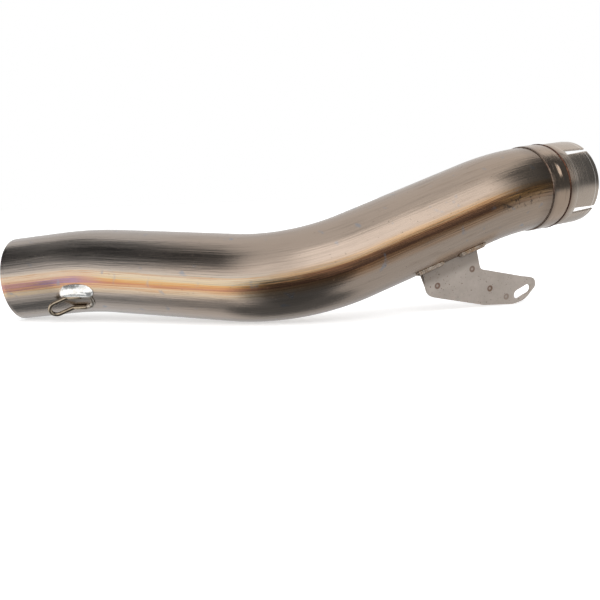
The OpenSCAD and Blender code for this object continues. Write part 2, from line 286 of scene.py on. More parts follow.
# %% World
# Each patch: azimuth from and to, elevation from and to, softness of its edges, brightness
PATCHES = {
    "sheet_behind": (150, 210, -30, 42, 12, 0.92),
    "floor_behind": (140, 220, -64, -22, 8, 0.68),
    "floor_back_left": (-158, -122, -56, -32, 10, 0.95),
    "table_side": (-114, -72, -66, -44, 10, 0.48),
    "sheet_left": (-92, -38, -36, 8, 12, 1.62),
    "table_left": (-43, -26, -60, -19, 8, 0.42),
    "softbox_front": (-8, 48, 16, 54, 11, 1.95),
    "softbox_side": (-36, -8, 6, 32, 9, 1.5),
    "table_right": (55, 128, -58, -12, 10, 0.78),
    "table_under": (-180, 180, -95, -64, 8, 0.2),
    "table_front": (-26, 40, -80, -14, 11, 0.13),
    "table_corner": (36, 66, -14, 1, 9, 0.27),
    "dark_left_low": (-82, -57, 25, 40, 12, 0.38),
    "dark_left": (-126, -66, 38, 53, 13, 0.05),
    "dark_right": (66, 122, -2, 52, 9, 0.13),
}
COOL_DARK = (0.87, 0.96, 1.04)
world = bpy.data.worlds.new("studio_world")
bpy.context.scene.world = world
world.use_nodes = True
world.node_tree.nodes.clear()
sky = Signal(world.node_tree, None).node("TexCoord", output="Generated")
to_right, away, upward = [coordinate(sky, index) for index in range(3)]
azimuth = sky.maths("ARCTAN2", to_right, away * -1.0) * math.degrees(1.0)
elevation = sky.maths("ARCSINE", upward) * math.degrees(1.0)
level = 1.0
for name, (left, right, low, high, soft, bright) in PATCHES.items():
    where = abs(azimuth) if right > 180 else azimuth
    inside = band(where, left, right, soft) * band(elevation, low, high, soft)
    level = level + inside * (bright - level)
direct = sky.node("LightPath", output="Is Camera Ray")
level = level + direct * (1.0 - level)
cast = mix(COOL_DARK, WHITE[:3], level, sky)
light = sky.node("Background", {}, {"Color": cast, "Strength": level})
sky.node("OutputWorld", {}, {"Surface": light})

# %% One soft lamp overhead
LAMP_SIDE, LAMP_HEIGHT, LAMP_LEVEL = 0.8, 1.6, 1.2
bpy.ops.object.light_add(type="AREA", location=(0, -0.3, LAMP_HEIGHT))
lamp = bpy.context.object
lamp.name = "top_softbox"
lamp.visible_glossy = False
lamp.rotation_euler = (math.radians(-10), 0, 0)
lamp.data.shape = "SQUARE"
lamp.data.size = LAMP_SIDE
lamp.data.energy = LAMP_LEVEL * math.pi * LAMP_SIDE**2
print("world with", len(world.node_tree.nodes), "nodes and", len(PATCHES), "patches")

# %% [markdown]
# ## Turning and bending
# Every ring of the pipe is turned on the Z axis while the stock is still straight: a circle is
# extruded from one radius to the next and merged where it closes. Then the finished stock is
# bent by the sheet, as in the workshop. Heat marks follow the metal and not the room, so each
# vertex first stores how far along the stock it lies, how far round from the seam, and how far
# out. The materials read these attributes, and the stripe stays on the seam through every bend.

# %% Turn a ring from a profile
SIDES, FINE_SIDES = 128, 256
SEAM_ANGLE = 332.0


def turn_ring(name, profile, sides=SIDES):
    """Extrude a circle along a closed profile of (station, radius) in mm."""
    deselect()
    station, radius = profile[0]
    bpy.ops.mesh.primitive_circle_add(vertices=sides, radius=radius)
    piece = bpy.context.object
    piece.name = name
    for vertex in piece.data.vertices:
        vertex.co.z = station
    bpy.ops.object.mode_set(mode="EDIT")
    bpy.ops.mesh.select_all(action="SELECT")
    for next_station, next_radius in profile[1:] + profile[:1]:
        lift = (0, 0, next_station - station)
        bpy.ops.mesh.extrude_region_move(TRANSFORM_OT_translate={"value": lift})
        grow = next_radius / radius
        bpy.ops.transform.resize(value=(grow, grow, 1), center_override=(0, 0, 0))
        station, radius = next_station, next_radius
    bpy.ops.mesh.select_all(action="SELECT")
    bpy.ops.mesh.remove_doubles(threshold=0.001)
    bpy.ops.mesh.normals_make_consistent(inside=False)
    bpy.ops.object.mode_set(mode="OBJECT")
    return piece


# %% Store where the metal is on the straight stock, then bend it
def store_stock_place(piece):
    """Attributes: unrolled = (station, sine and cosine of the angle from the seam), and rise."""
    mesh = piece.data
    mesh.attributes.new("unrolled", "FLOAT_VECTOR", "POINT")
    mesh.attributes.new("rise", "FLOAT", "POINT")
    unrolled, rise = mesh.attributes["unrolled"], mesh.attributes["rise"]
    for vertex in mesh.vertices:
        x, y, z = vertex.co
        angle = math.atan2(y, x) - math.radians(SEAM_ANGLE)
        unrolled.data[vertex.index].vector = (z, math.sin(angle), math.cos(angle))
        rise.data[vertex.index].value = math.hypot(x, y) - TUBE_R


def bend_stock(piece):
    """Move straight stock onto the bent centreline, and from millimetres to metres."""
    known = {}
    for vertex in piece.data.vertices:
        x, y, z = vertex.co
        key = round(z, 3)
        if key not in known:
            place, turn = at_station(max(z, 0.0))
            known[key] = place @ turned(-turn)
        vertex.co = (known[key] @ Vector((x, y, 0))) * MM
    piece.data.update()


def hand_over(piece, slot, smooth, *nodes):
    """Smooth the piece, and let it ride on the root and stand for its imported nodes."""
    deselect()
    piece.select_set(True)
    bpy.context.view_layer.objects.active = piece
    bpy.ops.object.shade_smooth_by_angle(angle=math.radians(smooth))
    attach(piece, "root")
    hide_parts(*nodes)
    print(piece.name, "has", len(piece.data.polygons), "faces")


# %% [markdown]
# ## The tube
# One length of welded tube, 1.5 mm thick, cut square at the inlet. Its rims are broken by a file,
# so they get a small round. The long faces are cut into short ones, because a bend needs them.

# %% Turn and bend the tube
RIM, RIM_MIDDLE = 0.35, 0.1  # how far a rim's round reaches, and where its middle lies
LONG_FACE, BEND_CUTS = 100.0, 150
BORE_R = TUBE_R - TUBE_WALL
tube = turn_ring(
    "bent_tube",
    [
        (RIM, TUBE_R),
        (SLEEVE_AT, TUBE_R),
        (SLEEVE_AT, BORE_R),
        (RIM, BORE_R),
        (RIM_MIDDLE, BORE_R + RIM_MIDDLE),
        (0.0, BORE_R + RIM),
        (0.0, TUBE_R - RIM),
        (RIM_MIDDLE, TUBE_R - RIM_MIDDLE),
    ],
)
bpy.ops.object.mode_set(mode="EDIT")
bpy.ops.mesh.select_mode(type="EDGE")
bpy.ops.mesh.select_all(action="DESELECT")
bpy.ops.object.mode_set(mode="OBJECT")
for edge in tube.data.edges:
    low, high = sorted(tube.data.vertices[index].co.z for index in edge.vertices)
    edge.select = high - low > LONG_FACE
bpy.ops.object.mode_set(mode="EDIT")
bpy.ops.mesh.subdivide_edgering(number_cuts=BEND_CUTS, interpolation="LINEAR")
bpy.ops.object.mode_set(mode="OBJECT")
store_stock_place(tube)
bend_stock(tube)
hand_over(
    tube,
    "tube_steel",
    40,
    "tube_inlet",
    "tube_middle_run",
    "tube_main_bend",
    "tube_bracket_run",
    "tube_outlet_bend",
)

# %% [markdown]
# ## The raised sleeve
# A short ring joins tube and collar. It is barrelled, and something once knocked a dent into it:
# the dent is the hollow that a round tool leaves, and the vertices it meets sink onto it.

# %% Sleeve with its dent
SLEEVE_R = 30.8
COLLAR_R = 30.25
SOCKET_R = 28.75
SLEEVE_DROP = 0.25
COLLAR_DROP = SLEEVE_R - COLLAR_R - SLEEVE_DROP
INLET_ROUND, OUTLET_ROUND = 3.0, 6.0
SLEEVE_STEPS = 18
sleeve_profile = [(SLEEVE_AT, SOCKET_R), (SLEEVE_AT, SLEEVE_R - SLEEVE_DROP)]
for step in range(1, SLEEVE_STEPS):
    s = SLEEVE_LENGTH * step / SLEEVE_STEPS
    inlet_side = min(s / INLET_ROUND, 1.0)
    outlet_side = min((SLEEVE_LENGTH - s) / OUTLET_ROUND, 1.0)
    drop = SLEEVE_DROP * (1 - inlet_side) ** 2 + COLLAR_DROP * (1 - outlet_side) ** 2
    sleeve_profile.append((SLEEVE_AT + s, SLEEVE_R - drop))
sleeve_profile.append((COLLAR_AT, COLLAR_R + SLEEVE_DROP))
sleeve_profile.append((COLLAR_AT, SOCKET_R))
sleeve = turn_ring("raised_sleeve", sleeve_profile, FINE_SIDES)
DENT_AT, DENT_ANGLE, DENT_DEPTH = SLEEVE_AT + 6.4, TOTAL_TURN - 153.0, 0.9
TOOL_R, TOOL_WIDTH = 6.0, 24.0
TOOL_OUT = SLEEVE_R + (TOOL_R - DENT_DEPTH)
toward = math.radians(DENT_ANGLE)
for vertex in sleeve.data.vertices:
    x, y, z = vertex.co
    if math.hypot(x, y) < TUBE_R:
        continue
    out = x * math.cos(toward) + y * math.sin(toward)
    across = y * math.cos(toward) - x * math.sin(toward)
    gap = math.hypot(out - TOOL_OUT, z - DENT_AT)
    if out > 0 and gap < TOOL_R and abs(across) < TOOL_WIDTH / 2:
        scale = (TOOL_OUT - math.sqrt(TOOL_R**2 - (z - DENT_AT) ** 2)) / out
        vertex.co.x, vertex.co.y = x * scale, y * scale
store_stock_place(sleeve)
bend_stock(sleeve)
hand_over(sleeve, "tube_steel", 40, "joining_sleeve")

# %% [markdown]
# ## The slotted collar
# Four slots let a band clamp squeeze the collar onto the next pipe. The fingers have been
# squeezed before, so each slot is a wedge, narrow at the mouth. One wedge is modelled, copied
# round, and cut out of the turned ring.

# %% Collar and its slots
TAPER_LENGTH, TAPER_DROP, MOUTH_DROP = 4.0, 0.37, 0.7
LIP, BROKEN_EDGE = 0.3, 0.18
SLOT_LENGTH = 22.0
SLOT_HALF_MOUTH, SLOT_HALF_ROOT = 1.5, 2.6
WEDGE_DEPTH, WEDGE_BEYOND = 10.0, 1
collar = turn_ring(
    "clamp_collar",
    [
        (COLLAR_AT, SOCKET_R),
        (COLLAR_AT, COLLAR_R),
        (MOUTH_AT - TAPER_LENGTH, COLLAR_R),
        (MOUTH_AT - LIP, COLLAR_R - TAPER_DROP),
        (MOUTH_AT, COLLAR_R - MOUTH_DROP),
        (MOUTH_AT, SOCKET_R + LIP),
        (MOUTH_AT - LIP, SOCKET_R),
    ],
    FINE_SIDES,
)
deselect()
slot_start = MOUTH_AT - SLOT_LENGTH
bpy.ops.mesh.primitive_cube_add(size=1.0, location=(TUBE_R, 0, 0))
wedge = bpy.context.object
wedge.scale = (WEDGE_DEPTH, 1.0, 1.0)
bpy.ops.object.transform_apply(location=True, scale=True)
for vertex in wedge.data.vertices:
    far = vertex.co.z > 0
    vertex.co.z = MOUTH_AT + WEDGE_BEYOND if far else slot_start
    vertex.co.y = math.copysign(SLOT_HALF_MOUTH if far else SLOT_HALF_ROOT, vertex.co.y)
wedges = [wedge]
for _ in range(3):
    bpy.ops.object.duplicate()
    bpy.ops.transform.rotate(value=math.radians(90), orient_axis="Z", center_override=(0, 0, 0))
    bpy.ops.object.transform_apply(rotation=True, location=True)
    wedges.append(bpy.context.object)
deselect()
for part in wedges:
    part.select_set(True)
bpy.context.view_layer.objects.active = wedge
bpy.ops.object.join()
for vertex in wedge.data.vertices:
    vertex.co = turned(TOTAL_TURN) @ vertex.co
deselect()
bpy.context.view_layer.objects.active = collar
collar.select_set(True)
cut = collar.modifiers.new("slots", "BOOLEAN")
cut.object, cut.operation, cut.solver = wedge, "DIFFERENCE", "EXACT"
bpy.ops.object.modifier_apply(modifier="slots")
bpy.data.objects.remove(wedge)
soften = collar.modifiers.new("broken_edges", "BEVEL")
soften.width, soften.segments, soften.limit_method = BROKEN_EDGE, 2, "ANGLE"
soften.angle_limit = math.radians(50)
bpy.ops.object.modifier_apply(modifier="broken_edges")
store_stock_place(collar)
bend_stock(collar)
hand_over(collar, "collar_steel", 30, "slotted_collar")


# %% [markdown]
# ## Ring welds
# Each joint of the sleeve has a thin fusion weld. A weld is laid as overlapping puddles, so the
# torus gets a small ripple for each.

# %% Ring welds
RING_RIPPLE, RING_LEAN = 0.09, 1.5  # depth of a puddle's edge, and how far it leans
RING_STEPS, RING_SIDES = 480, 12


def ring_weld(name, station, radius, bead, puddle, node):
    """A rippled torus where two rings meet."""
    deselect()
    bpy.ops.mesh.primitive_torus_add(
        major_segments=RING_STEPS,
        minor_segments=RING_SIDES,
        major_radius=radius,
        minor_radius=bead,
    )
    weld = bpy.context.object
    weld.name = name
    count = round(2 * math.pi * radius / puddle)
    for vertex in weld.data.vertices:
        x, y, z = vertex.co
        angle = math.atan2(y, x)
        ripple = 1 - RING_RIPPLE * (1 + math.sin(count * angle + RING_LEAN * z / bead))
        out = (math.hypot(x, y) - radius) * ripple + radius
        vertex.co = (out * math.cos(angle), out * math.sin(angle), z * ripple + station)
    store_stock_place(weld)
    bend_stock(weld)
    hand_over(weld, "weld_metal", 80, node)
    return weld


inlet_ring = ring_weld("sleeve_ring_weld", SLEEVE_AT, TUBE_R, 0.8, 1.1, "sleeve_weld")
outlet_ring = ring_weld("collar_ring_weld", COLLAR_AT, COLLAR_R, 0.9, 1.2, "collar_weld")


# %% [markdown]
# ## The bracket
# Two pressed plates lie flat on each other and part where they reach the tube. Their shapes are
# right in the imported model, so a copy of each is merged, its flat faces are joined again, and its
# cut edges are rounded, as a press leaves them.

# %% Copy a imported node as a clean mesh
def clean_copy(node, name):
    """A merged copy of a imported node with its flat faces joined."""
    deselect()
    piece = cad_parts[node].copy()
    piece.data = piece.data.copy()
    piece.name = name
    bpy.context.scene.collection.objects.link(piece)
    piece.parent = None
    piece.matrix_world = Matrix.Identity(4)
    piece.data.materials.clear()
    piece.select_set(True)
    bpy.context.view_layer.objects.active = piece
    bpy.ops.object.mode_set(mode="EDIT")
    bpy.ops.mesh.select_all(action="SELECT")
    bpy.ops.mesh.remove_doubles(threshold=0.00001)
    bpy.ops.mesh.dissolve_limited(angle_limit=math.radians(0.8))
    bpy.ops.object.mode_set(mode="OBJECT")
    return piece


# %% The bracket's own frame starts just past the main bend
JUST_PAST = 0.0001
BRACKET_ANGLE = -33.0
BRACKET = at_station(BRACKET_AT + JUST_PAST)[0] @ turned(BRACKET_ANGLE)
JOINT_PLANE = -15.3


def store_plate_place(piece):
    """Attribute drawn = (down the plate, off the joint plane, along the tube), in mm."""
    back = (Matrix.Scale(MM, 4) @ BRACKET).inverted()
    drawn = piece.data.attributes.new("drawn", "FLOAT_VECTOR", "POINT")
    for vertex in piece.data.vertices:
        x, y, z = back @ vertex.co
        drawn.data[vertex.index].vector = (x, y - JOINT_PLANE, z)


# %% Bracket plates
PRESSED_EDGE = 0.35
plates = []
for node, name in (("bracket_front_plate", "front_plate"), ("bracket_back_plate", "back_plate")):
    plate = clean_copy(node, name)
    soften = plate.modifiers.new("pressed_edges", "BEVEL")
    soften.width, soften.segments, soften.limit_method = PRESSED_EDGE * MM, 3, "ANGLE"
    soften.angle_limit = math.radians(40)
    bpy.ops.object.modifier_apply(modifier="pressed_edges")
    store_plate_place(plate)
    hand_over(plate, "plate_steel", 25, node)
    plates.append(plate)


# %% [markdown]
# ## Stitch welds and the hook's weld
# These beads were laid by hand. A copy of each packed bead is remeshed finely, rounded, and then
# pushed in and out a little along its length for the puddles.

# %% Rippled beads
BEAD_VOXEL = 0.35
BOW_DEPTH, BOW_RATE = 0.25, 1.1  # each puddle's edge is bowed
INWARD = 0.6  # the hollows go deeper than the tops rise, so a bead keeps its packed size


def hand_laid_bead(node, name, slot, puddle, swell, direction, rounds):
    """A finer copy of a bead with puddles of a length along a direction, in mm."""
    bead = clean_copy(node, name)
    finer = bead.modifiers.new("finer", "REMESH")
    finer.mode, finer.voxel_size = "VOXEL", BEAD_VOXEL * MM
    bpy.ops.object.modifier_apply(modifier="finer")
    relax = bead.modifiers.new("relax", "SMOOTH")
    relax.factor, relax.iterations = 0.5, rounds
    bpy.ops.object.modifier_apply(modifier="relax")
    sideways = direction.orthogonal().normalized()
    normals = [vertex.normal.copy() for vertex in bead.data.vertices]
    for vertex, normal in zip(bead.data.vertices, normals):
        place = vertex.co.dot(direction) / MM
        bow = BOW_DEPTH * math.sin(vertex.co.dot(sideways) / MM * BOW_RATE)
        wave = math.sin(2 * math.pi * (place / puddle + bow))
        vertex.co += normal * (swell * (wave - INWARD) * MM)
    hand_over(bead, slot, 80, node)
    return bead


bracket_along = (BRACKET.to_3x3() @ Vector((0, 0, 1))).normalized()
stitches = []
for side in ("front", "back"):
    for end in ("inlet", "outlet"):
        node = side + "_stitch_" + end
        bead = hand_laid_bead(node, node + "_bead", "weld_metal", 1.7, 0.12, bracket_along, 2)
        stitches.append(bead)
HOOK_STATION, HOOK_ANGLE = 59.5, 6.8
HOOK = at_station(HOOK_STATION)[0] @ turned(HOOK_ANGLE)
hook_along = (HOOK.to_3x3() @ Vector((0, 0, 1))).normalized()
hook_bead = hand_laid_bead(
    "hook_weld", "hook_weld_bead", "bright_weld", 4.6, 0.02, hook_along, 30
)

# %% [markdown]
# The pad beside the hook's leg is a dome: its outer edge draws in and sinks towards both ends.

# %% Round the pad's ends
PAD_EDGE = -6.6
PAD_DRAW, PAD_SINK = 0.34, 0.16
hook_frame = Matrix.Scale(MM, 4) @ HOOK
places = [hook_frame.inverted() @ vertex.co for vertex in hook_bead.data.vertices]
pad = [place.z for place in places if place.y < PAD_EDGE]
pad_middle, pad_half = (max(pad) + min(pad)) / 2, (max(pad) - min(pad)) / 2
print("pad from %.1f to %.1f mm along its leg" % (min(pad), max(pad)))
for vertex, place in zip(hook_bead.data.vertices, places):
    if place.y < PAD_EDGE:
        off_middle = ((place.z - pad_middle) / pad_half) ** 2
        beyond = (place.y - PAD_EDGE) * (1 - PAD_DRAW * off_middle)
        sink = PAD_SINK * off_middle * (PAD_EDGE - place.y)
        vertex.co = hook_frame @ Vector((place.x - sink, PAD_EDGE + beyond, place.z))

# %% Store where the hook's weld is
# Attribute drawn = (out of the tube, across the legs, along the tube), in mm
drawn = hook_bead.data.attributes.new("drawn", "FLOAT_VECTOR", "POINT")
for vertex in hook_bead.data.vertices:
    drawn.data[vertex.index].vector = hook_frame.inverted() @ vertex.co

# %% [markdown]
# ## The spring hook
# One wire is bent in a former: leg, knee, hairpin, knee, leg. The circle that is the wire's
# section is extruded for each straight part and spun for each bend, and its ends are rounded.

# %% Bend the hook from wire
WIRE_R, FILED_EDGE = 1.5, 0.35
LEG_Y = 5.35
LEG_LENGTH = 11.0
LOOP_REACH = 10.4
LOOP_ANGLE = math.radians(32)
KNEE_R = 2.7 * WIRE_R
KNEE_RUN = KNEE_R * math.tan(LOOP_ANGLE / 2)
LEG_GAP = 0.05
WIRE_SIDES, KNEE_STEPS, LOOP_STEPS = 24, 8, 28
hollow_r = BENDS[0]["radius"] - TUBE_R
leg_bow = (LEG_LENGTH / 2) ** 2 / (2 * hollow_r)  # the tube's hollow side bows up to the leg
LEG_HEIGHT = math.sqrt((TUBE_R + WIRE_R) ** 2 - LEG_Y**2) + leg_bow + LEG_GAP
ahead = Vector((math.sin(LOOP_ANGLE), 0, -math.cos(LOOP_ANGLE)))
up_from_loop = Vector((math.cos(LOOP_ANGLE), 0, math.sin(LOOP_ANGLE)))
leg_end = Vector((LEG_HEIGHT, -LEG_Y, LEG_LENGTH / 2))
knee = Vector((LEG_HEIGHT + KNEE_R, -LEG_Y, KNEE_RUN - LEG_LENGTH / 2))
loop_middle = Vector((LEG_HEIGHT, 0, -LEG_LENGTH / 2)) + ahead * LOOP_REACH
deselect()
bpy.ops.mesh.primitive_circle_add(
    vertices=WIRE_SIDES, radius=WIRE_R, fill_type="NGON", location=leg_end
)
hook = bpy.context.object
hook.name = "wire_hook"
bpy.ops.object.transform_apply(location=True)
bpy.ops.object.mode_set(mode="EDIT")
bpy.ops.mesh.select_all(action="SELECT")


def extrude_wire(way):
    bpy.ops.mesh.extrude_region_move(TRANSFORM_OT_translate={"value": way})


def spin_wire(angle, centre, axis, steps):
    bpy.ops.mesh.spin(steps=steps, angle=angle, center=centre, axis=axis)


extrude_wire((0, 0, KNEE_RUN - LEG_LENGTH))
spin_wire(LOOP_ANGLE, knee, (0, 1, 0), KNEE_STEPS)
extrude_wire(ahead * (LOOP_REACH - KNEE_RUN))
spin_wire(-math.pi, loop_middle, up_from_loop, LOOP_STEPS)
extrude_wire(-ahead * (LOOP_REACH - KNEE_RUN))
spin_wire(LOOP_ANGLE, knee * Vector((1, -1, 1)), (0, -1, 0), KNEE_STEPS)
extrude_wire((0, 0, LEG_LENGTH - KNEE_RUN))
bpy.ops.mesh.select_all(action="SELECT")
bpy.ops.mesh.normals_make_consistent(inside=False)
bpy.ops.object.mode_set(mode="OBJECT")
low = [min(vertex.co[axis] for vertex in hook.data.vertices) for axis in range(3)]
high = [max(vertex.co[axis] for vertex in hook.data.vertices) for axis in range(3)]
print("hook in its own frame, mm", [round(value, 2) for value in low + high])
soften = hook.modifiers.new("filed_ends", "BEVEL")
soften.width, soften.segments, soften.limit_method = FILED_EDGE, 2, "ANGLE"
soften.angle_limit = math.radians(60)
bpy.ops.object.modifier_apply(modifier="filed_ends")
for vertex in hook.data.vertices:
    vertex.co = (HOOK @ vertex.co) * MM
hand_over(hook, "wire_steel", 50, "spring_hook")

# %% [markdown]
# ## Used stainless tube
# The grey is warm, warmer towards the hot end, and streaked along the pipe by polishing. The seam
# was welded and later heated: a stripe of straw, rose, gold and brown lies on it, and its colours
# change along the pipe. Each stretch has a ramp across the stripe, and the station blends them.
# Streaks of noise shift the place across the stripe, so that its lines fray into threads.

# %% Places on the stock
SEAM_FROM, SEAM_TO = -20.0, 24.0


def unrolled_place(start):
    """Station in mm, angle from the seam in degrees, and rise over the tube's surface."""
    unrolled = stored(start, "unrolled")
    station, sine, cosine = [coordinate(unrolled, index) for index in range(3)]
    angle = start.maths("ARCTAN2", sine, cosine) * math.degrees(1.0)
    return station, angle, stored(start, "rise", "Fac")


def streaks(start, lengthwise, around, scale, detail=3.0):
    """Noise on the straight stock; the smaller a factor, the longer its streaks that way."""
    factors = (lengthwise, TUBE_R * around, TUBE_R * around)
    return noise(stretched(stored(start, "unrolled"), factors), scale, detail, 0.6)


def station_ramp(station, stops):
    """A colour that changes along the pipe, from (station in mm, colour) stops."""
    stops = [(s / MOUTH_AT, colour) for s, colour in stops]
    return station.node("ValToRGB", {"stops": stops}, {0: station / MOUTH_AT})


def across_seam(angle, stops):
    """A colour that changes across the stripe, from (angle from the seam, colour) stops."""
    span = SEAM_TO - SEAM_FROM
    stops = [((q - SEAM_FROM) / span, colour) for q, colour in stops]
    return angle.node("ValToRGB", {"stops": stops}, {0: (angle - SEAM_FROM) / span})


# %% Colours of the seam's stripe
def seam_tint(start, colour, station, angle, fine_lines):
    """Lay the heat colours of the seam over a colour."""
    threads = streaks(start, 0.012, 2.0, 1.1)
    wander = spread(streaks(start, 0.02, 0.15, 1.0), 6.0)
    wander = wander + spread(fine_lines, 12.0) + spread(threads, 16.0)
    across = angle + wander
    rose = across_seam(
        across,
        [
            (-15, (0.40, 0.335, 0.275)),
            (-11.5, (0.45, 0.365, 0.285)),
            (-10, (0.41, 0.255, 0.15)),
            (-8.5, (0.475, 0.375, 0.28)),
            (-4, (0.47, 0.305, 0.19)),
            (0, (0.355, 0.185, 0.165)),
            (4, (0.35, 0.18, 0.185)),
            (7, (0.45, 0.235, 0.12)),
            (12, (0.47, 0.36, 0.235)),
            (20, (0.37, 0.31, 0.265)),
        ],
    )
    gold = across_seam(
        across,
        [
            (-12, (0.41, 0.35, 0.29)),
            (-10, (0.42, 0.27, 0.16)),
            (-8.5, (0.48, 0.395, 0.285)),
            (-5.5, (0.49, 0.39, 0.27)),
            (-3, (0.50, 0.37, 0.21)),
            (0, (0.49, 0.26, 0.09)),
            (3, (0.36, 0.155, 0.09)),
            (7, (0.45, 0.27, 0.145)),
            (12, (0.46, 0.36, 0.255)),
            (20, (0.38, 0.305, 0.245)),
        ],
    )
    brown = across_seam(
        across,
        [
            (-14, (0.40, 0.30, 0.225)),
            (-9, (0.43, 0.28, 0.155)),
            (-6, (0.36, 0.19, 0.085)),
            (-3, (0.19, 0.085, 0.042)),
            (-1.5, (0.17, 0.08, 0.045)),
            (0, (0.31, 0.155, 0.075)),
            (1.5, (0.18, 0.085, 0.055)),
            (3.5, (0.21, 0.095, 0.05)),
            (6, (0.36, 0.185, 0.09)),
            (11, (0.35, 0.215, 0.13)),
            (18, (0.37, 0.27, 0.20)),
        ],
    )
    lined = across_seam(
        across,
        [
            (-11, (0.36, 0.27, 0.20)),
            (-7, (0.33, 0.20, 0.105)),
            (-4, (0.27, 0.135, 0.062)),
            (-1, (0.64, 0.35, 0.135)),
            (2, (0.36, 0.185, 0.085)),
            (5, (0.55, 0.34, 0.18)),
            (8, (0.35, 0.22, 0.14)),
            (15, (0.37, 0.27, 0.195)),
        ],
    )
    violet = band(station, 36.0, 62.0, 12.0) * band(across, -0.5, 4.5, 2.5)
    rose = mix(rose, (0.285, 0.18, 0.245), violet * 0.75, start)
    stripe = mix(rose, gold, step_up(station, 72.0, 98.0), start)
    turning = station + spread(streaks(start, 0.1, 0.3, 0.6), 60.0)
    stripe = mix(stripe, brown, step_up(turning, 192.0, 236.0), start)
    stripe = mix(stripe, lined, step_up(station, 360.0, 384.0), start)
    stripe = shaded(stripe, 1.0 + spread(fine_lines, 0.6) + spread(threads, 1.3), start)
    cover = band(angle, -12.0, 15.0, 7.0) * 0.95
    return mix(colour, stripe, cover, start)


# %% Tube steel
def tube_paint(name, circled, dull):
    """Steel of the tube, or of the sleeve, which is polished round and has no seam."""
    paint, start = start_material(name)
    station, angle, rise = unrolled_place(start)
    cloud = noise(start, 26.0, 4.0, 0.6)
    if circled:
        fine_lines = streaks(start, 1.0, 0.05, 1.1)
        broad = streaks(start, 0.5, 0.1, 0.7)
    else:
        fine_lines = streaks(start, 0.022, 1.0, 0.8, 4.0)
        broad = streaks(start, 0.03, 0.3, 0.7, 4.0)
    colour = station_ramp(
        station,
        [
            (0, (0.365, 0.315, 0.277)),
            (110, (0.365, 0.310, 0.268)),
            (160, (0.375, 0.303, 0.250)),
            (360, (0.375, 0.298, 0.240)),
            (405, (0.370, 0.285, 0.220)),
        ],
    )
    shade = 1.0 + spread(fine_lines, 0.62) + spread(broad, 0.42) + spread(cloud, 0.25)
    if circled:
        # Painted reflection: on the sleeve's lower side, past the seam's angle, the streaks don't
        # darken it, so that side is painted lighter.
        shade = shade + step_up(angle, -2.0, 5.0) * 0.7
        colour = mix(colour, (0.44, 0.32, 0.235), 0.4, start)
    colour = shaded(colour, shade, start)
    if not circled:
        colour = seam_tint(start, colour, station, angle, fine_lines)

    # Stains towards the hot end, pale blots, and a brown end before the sleeve
    stained = step_up(broad, 0.56, 0.75) * step_up(station, 120.0, 330.0)
    colour = mix(colour, (0.25, 0.185, 0.14), stained * 0.5, start)
    blots = step_up(noise(start, 120.0, 1.5, 0.5), 0.66, 0.78)
    colour = mix(colour, (0.24, 0.255, 0.285), blots * 0.6, start)
    hot_end = step_up(station, SLEEVE_AT - 14.0, SLEEVE_AT - 1.0)
    hot_end = hot_end * step_up(station, SLEEVE_AT + 5.0, SLEEVE_AT)
    colour = mix(colour, (0.17, 0.125, 0.10), hot_end * 0.45, start)

    # Heat marks over the bracket, soot in the bore, scars below the seam, and pits
    by_bracket = band(station, 318.0, 360.0, 10.0) * band(angle, 46.0, 66.0, 12.0)
    colour = mix(colour, (0.34, 0.215, 0.12), by_bracket * (0.15 + cloud * 0.7), start)
    soot = step_up(rise, -1.0, -1.4)
    colour = mix(colour, (0.15, 0.125, 0.105), soot * (0.5 + cloud * 0.6), start)
    scars = step_up(noise(start, 300.0, 3.0, 0.6), 0.55, 0.62) * band(station, 374.0, 398.0, 6.0)
    colour = mix(colour, (0.085, 0.065, 0.055), scars * band(angle, 3.0, 15.0, 5.0) * 0.75, start)
    pits = step_up(noise(start, 620.0, 2.0, 0.5), 0.715, 0.77)
    colour = mix(colour, (0.10, 0.075, 0.06), pits * 0.6, start)
    rough = dull + spread(fine_lines, 0.2) + spread(broad, 0.12) + blots * 0.03 + soot * 0.25
    height = fine_lines * 0.7 + broad * 0.9 - pits * 0.3
    finish_metal(paint, start, colour, rough, height, 0.00018)
    return paint


tube.data.materials.append(tube_paint("heat_tinted_tube", False, 0.22))
sleeve.data.materials.append(tube_paint("polished_sleeve", True, 0.2))

# %% [markdown]
# ## Collar, welds, plates, hook
# The collar is a plainer grey than the tube, browned by its weld, and bright where an edge of it
# is worn. The ring welds have a dark oxide on them, and the stitches are brighter with brown
# patches.
# The pad of the weld at the hook is painted bright: partly its clean metal, partly a painted
# highlight on its dome. The plates are matte, with pits and a brown ring round each spot weld.
# The wire is drawn, so it has a satin gleam.


# %% Collar steel
def collar_paint():
    paint, start = start_material("smoked_collar")
    station, _, rise = unrolled_place(start)
    cloud = noise(start, 45.0, 4.0, 0.6)
    lathe_lines = streaks(start, 1.0, 0.04, 1.1)
    patchy = cloud * 0.6 + lathe_lines * 0.4
    colour = mix((0.41, 0.335, 0.275), (0.57, 0.48, 0.40), patchy, start)
    near_weld = step_up(station, COLLAR_AT + 7.0, COLLAR_AT)
    colour = mix(colour, (0.20, 0.125, 0.08), near_weld * (0.35 + lathe_lines * 0.5), start)
    scuff = step_up(noise(stretched(start, (0.25, 1.0, 1.0)), 260.0, 3.0, 0.6), 0.60, 0.72)
    colour = mix(colour, (0.48, 0.43, 0.38), scuff * 0.35, start)

    # Bright lines where the taper starts and where a clamp's edge sat
    taper_at = MOUTH_AT - TAPER_LENGTH
    worn = band(station, taper_at - 0.4, taper_at + 0.1, 0.35) * 0.65
    worn = worn + band(station, COLLAR_AT + 7.6, COLLAR_AT + 8.0, 0.4) * 0.22
    colour = mix(colour, (0.95, 0.88, 0.80), worn, start)
    soot = step_up(rise, -0.9, -1.2)
    colour = mix(colour, (0.15, 0.125, 0.105), soot * 0.8, start)
    rough = 0.27 + spread(lathe_lines, 0.2) + worn * 0.2 + soot * 0.25
    finish_metal(paint, start, colour, rough, lathe_lines + scuff * 0.2, 0.0001)
    return paint


